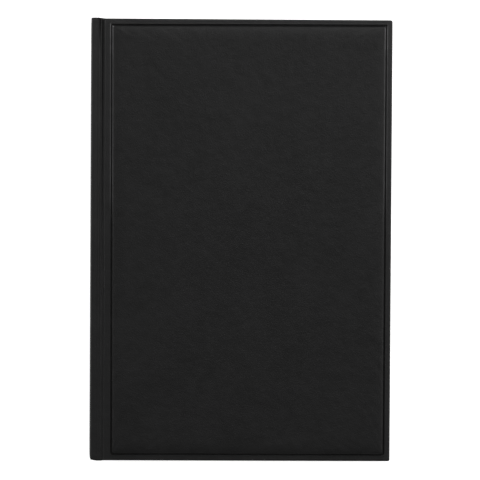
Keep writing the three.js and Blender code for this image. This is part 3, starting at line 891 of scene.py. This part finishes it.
def spine_covering():
    """Rings round the spine's face, from its middle over the shoulders, along the sides and, at
    head and tail only, in behind the board, then back along the inner side of the sheet. The
    face bulges by a fourth power of the distance from its middle."""
    low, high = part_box("spine_skin")
    width = high.x - low.x
    quarter = np.linspace(0, np.pi / 2, EDGE_STEPS)
    side_depth = (width - SPINE_SIDE_END, width, width, width - SKIN, width - SKIN, SKIN, SKIN)
    end_insets = (0, SPINE_ROLL, SPINE_TURN_IN, SPINE_TURN_IN, SKIN, SKIN, SPINE_MIDDLE_INSET)
    side_insets = (0, 0, SKIN, SKIN, SKIN, SKIN, SPINE_MIDDLE_INSET)

    def insets(shoulder, beyond, slant=0.0):
        """From the middle of the face to its rounded shoulder, and on as given."""
        face = np.linspace(SPINE_MIDDLE_INSET, shoulder + slant, SPINE_FACE_RINGS + 1)[:-1]
        return np.concatenate([face, shoulder * (1 - np.sin(quarter)) + slant, beyond])

    share = np.linspace(1, 0, SPINE_FACE_RINGS + 1)[:-1]
    bulge = SPINE_BULGE * (1 - (1 - share) ** SPINE_BULGE_POWER)
    depth = np.concatenate([-bulge, SPINE_SHOULDER * (1 - np.cos(quarter)), side_depth])
    outer = SPINE_FACE_RINGS + len(quarter)
    radius = np.where(np.arange(len(depth)) < outer, SPINE_END_RADIUS, SPINE_INNER_RADIUS)
    side_inset = insets(SPINE_SHOULDER, side_insets)
    flat = rounded_rings(
        low.z + side_inset, high.z - side_inset,
        low.y + SPINE_TAIL_DROP + insets(SPINE_TAIL_SHOULDER, end_insets, SPINE_TAIL_SLANT),
        high.y - insets(SPINE_HEAD_SHOULDER, end_insets),
        radius, radius,
    )
    x = np.broadcast_to((low.x + depth)[:, None], flat.shape[:2])
    rings = np.stack([x, flat[..., 1], flat[..., 0]], -1)
    points, quads, triangles = closed_rings(rings)
    piece = make_piece("spine_covering", points, quads, triangles, sharp=COVERING_SHARP_ANGLE)
    wear = np.zeros(rings.shape[:2])
    # Worn places and painted highlights on the spine's shoulders, and on its edge, brighter towards the
    # head.
    wear[SPINE_FACE_RINGS:outer] = SHOULDER_WEAR_AND_HIGHLIGHT
    edge = slice(outer - 1, outer + 2)
    towards_head = ease((rings[edge, :, 1] / high.y + SPINE_WEAR_AND_HIGHLIGHT_START) / (1 + SPINE_WEAR_AND_HIGHLIGHT_START))
    wear[edge] = SPINE_EDGE_WEAR_AND_HIGHLIGHT + SPINE_HEAD_WEAR_AND_HIGHLIGHT * towards_head
    finish_covering(piece, "spine_skin", edge_wear=for_points(wear, rings))
    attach(piece, "spine")


def spine_board():
    """A flat strip from the head to SPINE_BOARD_SHORT above the tail."""
    low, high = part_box("spine_board")
    half = (high.y - low.y - SPINE_BOARD_SHORT) / 2
    middle = (low.x + high.x) / 2
    path = np.array([[middle, low.z], [middle, high.z]])
    points, quads = strip_along(path, high.x - low.x, half, SPINE_BOARD_STATIONS)
    points[:, 1] += high.y - half
    piece = make_piece("spine_greyboard", points, quads)
    put_on(piece, GREYBOARD, "board", "spine_board")
    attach(piece, "spine")


spine_covering()
spine_board()

# Joints
# Between spine and cover the same sheet is pressed into a shallow groove with a hot rod. It is
# the hinge of the book: it bends as the cover opens. Two creases run along it, a fine one beside
# the spine that is pinched at the head, and a broader one beside the cover.
GROOVE_STEPS, GROOVE_STATIONS = 70, 60
JOINT_CLOTH = 0.36 * mm
JOINT_TUCK = 0.25 * mm
JOINT_FALL = 0.22 * mm
CREASES = ((1.2 * mm, 0.36 * mm, 0.12 * mm, 0.45 * mm), (2.58 * mm, 0.34 * mm, 0.36 * mm, 0))
TAIL_CREASE, HEAD_CREASE = 0.25, 1.6
HEAD_CAP_RISE, TAIL_CAP_RISE = 0.4 * mm, 0.1 * mm


def joint_cloth(side, out):
    """A sheet that falls smoothly from the spine's shoulder to under the cover's round edge. Each
    crease is a Gaussian dip: its distance from the spine, its width, its depth, which grows from
    tail to head by one share, and the pinch that comes on top at the head."""
    start, _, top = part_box("spine_skin")[1]
    x = np.linspace(start, cover_low.x + JOINT_TUCK, GROOVE_STEPS)
    share = (x - start) / (x[-1] - start)
    path = np.stack([x, top - JOINT_FALL * ease(share) - JOINT_CLOTH / 2], -1)
    half = cover_high.y + HEAD_CAP_RISE * (1 - ease(share))
    points, quads = strip_along(path, JOINT_CLOTH, half, GROOVE_STATIONS)
    points[:, 1] = np.maximum(points[:, 1], -cover_high.y - TAIL_CAP_RISE)
    along = points[:, 1] / cover_high.y
    strength = TAIL_CREASE + (HEAD_CREASE - TAIL_CREASE) * ease((along + 1) / 2)
    for place, width, depth, pinch in CREASES:
        dip = depth * strength + pinch * near_head(along)
        points[:, 2] -= dip * np.exp(-(((points[:, 0] - start - place) / width) ** 2))
    points, (quads,) = mirrored(points, [quads], out)
    piece = make_piece(f"{side}_joint", points, quads, sharp=COVERING_SHARP_ANGLE)
    finish_covering(piece, f"{side}_joint_cloth")
    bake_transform(piece)


for side, out in SIDES:
    joint_cloth(side, out)

# Head and tail bands
# A cord wound with two colours of silk, on a strip of cloth that is glued over the backs of the
# sections. The wound cord shows at each end of the spine and hides the glue.
BAND_FINISH = (0.45, 0.5)
BAND_DARK, BAND_PALE = (0.012, 0.012, 0.014), (0.62, 0.58, 0.50)
BAND_RELIEF = (0.5, 0.05 * mm)
BAND_STRIPE, STRANDS_IN_STRIPE = 1.1 * mm, 4
BAND_SIDES, BAND_ROWS = 28, 190
BAND_CORE, BAND_SWELL = 0.93, 0.07
BAND_CLOTH, BAND_CLOTH_PLACE = 0.3 * mm, 0.17 * mm
BAND_CLOTH_STATIONS = 12
CLOTH_TONE = 0.2
BAND_LAP = 1.6


def band_material():
    """Stripes across the cord from the UV map, one colour of silk and then the other, with the
    strands as a sine wave."""
    made, tree, shader = new_material("band_silk", BAND_FINISH)
    _, v, _ = add_node(tree, "ShaderNodeSeparateXYZ", {0: own_uv(tree)}).outputs
    stripe = maths(tree, "GREATER_THAN", maths(tree, "FRACT", v), 0.5)
    strand = maths(tree, "SINE", times(tree, v, 2 * math.pi * STRANDS_IN_STRIPE))
    tint = mixed(tree, stripe, BAND_DARK, BAND_PALE)
    return painted(made, shader, tint, relief(tree, strand, *BAND_RELIEF))


def tube(x, y, z, radius, sides):
    """A closed tube of circles round a line that runs up Z. Its x, y and radius are one number,
    or one for each height. The circles run from the top down, so that its faces point outwards."""
    turn = np.linspace(0, 2 * np.pi, sides, endpoint=False)
    x, y, z, radius = (values[::-1, None] for values in np.broadcast_arrays(x, y, z, radius))
    x, y = x + radius * np.cos(turn), y + radius * np.sin(turn)
    return closed_rings(np.stack([x, y, np.broadcast_to(z, x.shape)], -1))


def wound_band(node, direction):
    """direction is +1 at the head and -1 at the tail. The cord's radius swells with each winding,
    and the strip of cloth reaches from inside the cord to the node's inner end."""
    low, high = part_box(node)
    radius = (high.x - low.x) / 2
    z = np.linspace(low.z, high.z, BAND_ROWS)
    tip = high.y if direction > 0 else low.y
    winding = np.abs(np.sin(np.pi * (z - low.z) / (BAND_STRIPE / 2)))
    swell = radius * (BAND_CORE + BAND_SWELL * winding)
    points, quads, triangles = tube(low.x + radius, tip - direction * radius, z, swell, BAND_SIDES)
    piece = make_piece(node.replace("band", "band_cord"), points, quads, triangles)
    set_uv(piece, np.stack([points[:, 0] / UV_SPAN, (points[:, 2] - low.z) / BAND_STRIPE], -1))
    put_on(piece, BAND_SILK, "band")
    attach(piece, "spine")
    inner_end = low.y if direction > 0 else high.y
    lap = tip - direction * BAND_LAP * radius
    x = low.x + BAND_CLOTH_PLACE
    path = np.array([[x, low.z], [x, high.z]])
    points, quads = strip_along(path, BAND_CLOTH, abs(lap - inner_end) / 2, BAND_CLOTH_STATIONS)
    points[:, 1] += (lap + inner_end) / 2
    strip = make_piece(node.replace("band", "band_strip"), points, quads)
    set_uv(strip, np.stack([points[:, 1] / UV_SPAN, np.full(len(points), CLOTH_TONE)], -1))
    put_on(strip, BAND_SILK, "band", node)
    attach(strip, "spine")


BAND_SILK = band_material()
wound_band("head_band", 1)
wound_band("tail_band", -1)

# Sewing thread
# White linen thread leaves each fold, is looped under the stitch of the section before and goes
# back in, which leaves four plaited lines across the backs of the sections.
THREAD_COUNT = 4
THREAD_FINISH = (0.8, 0.2)
THREAD_COLOUR, THREAD_TONES = (0.72, 0.69, 0.60), (0.7, 1)
THREAD_PLIES_PER_METRE = 6000.0
THREAD_RELIEF = (0.5, 0.05 * mm)
THREAD_ROWS, THREAD_SIDES = 240, 10
THREAD_FULLNESS, THREAD_SWING = 0.95, 1.2


def thread_material():
    """Off-white linen with the unevenness of its plies."""
    made, tree, shader = new_material("linen_thread", THREAD_FINISH)
    ply = noise(tree, own_place(tree), THREAD_PLIES_PER_METRE)
    tint = toned(tree, ply, THREAD_COLOUR, THREAD_TONES)
    return painted(made, shader, tint, relief(tree, ply, *THREAD_RELIEF))


def sewing_thread(number):
    """A thread that swings from side to side as a sine, once for each section that it links."""
    node = f"sewing_thread_{number}"
    low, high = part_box(node)
    radius = (high.x - low.x) / 2
    z = np.linspace(low.z, high.z, THREAD_ROWS)
    loops = np.sin(2 * np.pi * SECTION_COUNT * (z - low.z) / (high.z - low.z))
    x, y = (low.x + high.x) / 2, (low.y + high.y) / 2 + THREAD_SWING * radius * loops
    points, quads, triangles = tube(x, y, z, THREAD_FULLNESS * radius, THREAD_SIDES)
    piece = make_piece(f"linen_thread_{number}", points, quads, triangles)
    put_on(piece, LINEN, "thread", node)
    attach(piece, "spine")


LINEN = thread_material()
for number in range(1, THREAD_COUNT + 1):
    sewing_thread(number)

# Floor, light and camera
# The planner lies on a white light table, so it throws hardly any shadow. The camera looks down
# on it from almost straight above, a little towards the head, as in a catalogue picture.
FLOOR_FINISH = (0.9, 0.1)
FLOOR_COLOUR, FLOOR_TONES = (0.94, 0.94, 0.94), (0.99, 1)
FLOOR_CLOUDS_PER_METRE = 3.0
FLOOR_GLOW = 0.8
FLOOR_SIZE = 6.0
WHITE = (1, 1, 1, 1)
LAMPS = (
    ("overhead_softbox", (0.22, 0.5, 0.85), 0.5, 2.1),
    ("fore_edge_softbox", (1.6, 0.7, 0.75), 1.6, 19),
    ("spine_softbox", (-1.5, 0.8, 0.85), 1.4, 17),
    ("tail_softbox", (0.1, -1.7, 0.9), 1.4, 1.5),
)
SKY_BASE, SKY_PANEL, SKY_HORIZON = 0.144, 0.29, 1.44
HORIZON_POWER = 30.0
PANEL_AIM = (0.10, 0.25, 0.963)
PANEL_EDGES = (18, 42)
CAMERA_PLACE = (-40.4 * mm, 50.8 * mm, 1600 * mm)
CAMERA_TILT = (-1.845, -1.441, 0.332)
CAMERA_LENS, CAMERA_SENSOR, CAMERA_RANGE = 242.47, 36, 50


def floor():
    """One white square that glows a little, so that the planner's shadow stays faint."""
    half = FLOOR_SIZE / 2
    points = np.array([[-half, -half, 0], [half, -half, 0], [half, half, 0], [-half, half, 0]])
    made, tree, shader = new_material("white_floor", FLOOR_FINISH)
    cloud = noise(tree, own_place(tree), FLOOR_CLOUDS_PER_METRE)
    tree.links.new(toned(tree, cloud, FLOOR_COLOUR, FLOOR_TONES), shader.inputs["Base Color"])
    shader.inputs["Emission Color"].default_value = WHITE
    shader.inputs["Emission Strength"].default_value = FLOOR_GLOW
    piece = make_piece("floor", points, [[0, 1, 2, 3]])
    piece.data.materials.append(made)


def softbox(name, place, size, power):
    """A square lamp at a place, turned to the middle of the planner."""
    light = bpy.data.lights.new(name, "AREA")
    light.shape = "SQUARE"
    light.size = size
    light.energy = power
    lamp = bpy.data.objects.new(name, light)
    bpy.context.scene.collection.objects.link(lamp)
    lamp.location = place
    lamp.rotation_euler = (-Vector(place)).to_track_quat("-Z", "Y").to_euler()


def studio_sky():
    """White light from all round: a base, a soft round panel where it is aimed, and a bright
    horizon that fades upwards by a high power."""
    world = bpy.data.worlds.new("studio")
    world.use_nodes = True
    sky = world.node_tree
    direction = add_node(sky, "ShaderNodeTexCoord").outputs["Generated"]
    _, _, rise = add_node(sky, "ShaderNodeSeparateXYZ", {0: direction}).outputs
    horizon = maths(sky, "POWER", maths(sky, "SUBTRACT", 1.0, rise, clamp=True), HORIZON_POWER)
    near_aim = add_node(sky, "ShaderNodeVectorMath", {0: direction, 1: PANEL_AIM}, operation="DOT_PRODUCT")
    inner, outer = [math.cos(math.radians(edge)) for edge in PANEL_EDGES]
    ramp = {"Value": near_aim.outputs["Value"], "From Min": outer, "From Max": inner}
    panel = add_node(sky, "ShaderNodeMapRange", ramp, interpolation_type="SMOOTHSTEP").outputs[0]
    glow = maths(sky, "ADD", times(sky, panel, SKY_PANEL), times(sky, horizon, SKY_HORIZON))
    background = sky.nodes["Background"].inputs
    sky.links.new(maths(sky, "ADD", glow, SKY_BASE), background["Strength"])
    background["Color"].default_value = WHITE
    return world


floor()
for lamp in LAMPS:
    softbox(*lamp)
bpy.context.scene.world = studio_sky()
bpy.context.scene.view_settings.view_transform = "Standard"

eye = bpy.data.objects.new("camera", bpy.data.cameras.new("camera"))
bpy.context.scene.collection.objects.link(eye)
eye.data.lens = CAMERA_LENS
eye.data.sensor_width = CAMERA_SENSOR
eye.data.clip_end = CAMERA_RANGE
eye.location = CAMERA_PLACE
eye.rotation_euler = [math.radians(angle) for angle in CAMERA_TILT]
bpy.context.scene.camera = eye
